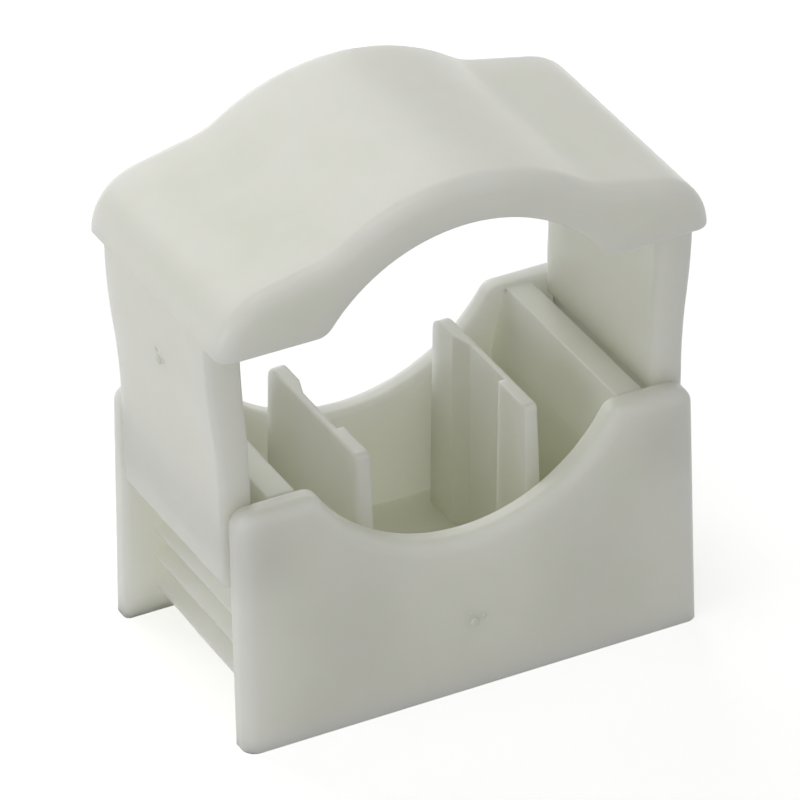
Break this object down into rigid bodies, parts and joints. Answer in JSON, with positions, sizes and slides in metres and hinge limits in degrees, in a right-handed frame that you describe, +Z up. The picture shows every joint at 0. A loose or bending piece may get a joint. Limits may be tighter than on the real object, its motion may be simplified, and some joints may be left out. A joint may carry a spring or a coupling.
{
  "type": "adjustable pipe clip",
  "caption": "Adjustable plastic pipe clip: a screw-down saddle base with ratchet ribs on its end walls, and an arched cap whose toothed legs click down over them.",
  "frame": {"origin": "centre of the base's underside, which stands on z = 0", "axes": "+X along the side plates, across the pipe; +Y along the pipe; +Z up, out of the wall the clip is screwed to"},
  "size_m": [0.0428, 0.0244, 0.0464],
  "materials": {
    "nylon": "natural off-white nylon, satin, slightly translucent"
  },
  "bodies": {
    "base": {"base": "nylon"},
    "cap": {"cap": "nylon"}
  },
  "joints": [
    {"name": "cap_slide", "type": "slide", "parent": "base", "child": "cap", "axis": [0, 0, 1], "range_m": [-0.01325, 0.00265]}
  ]
}
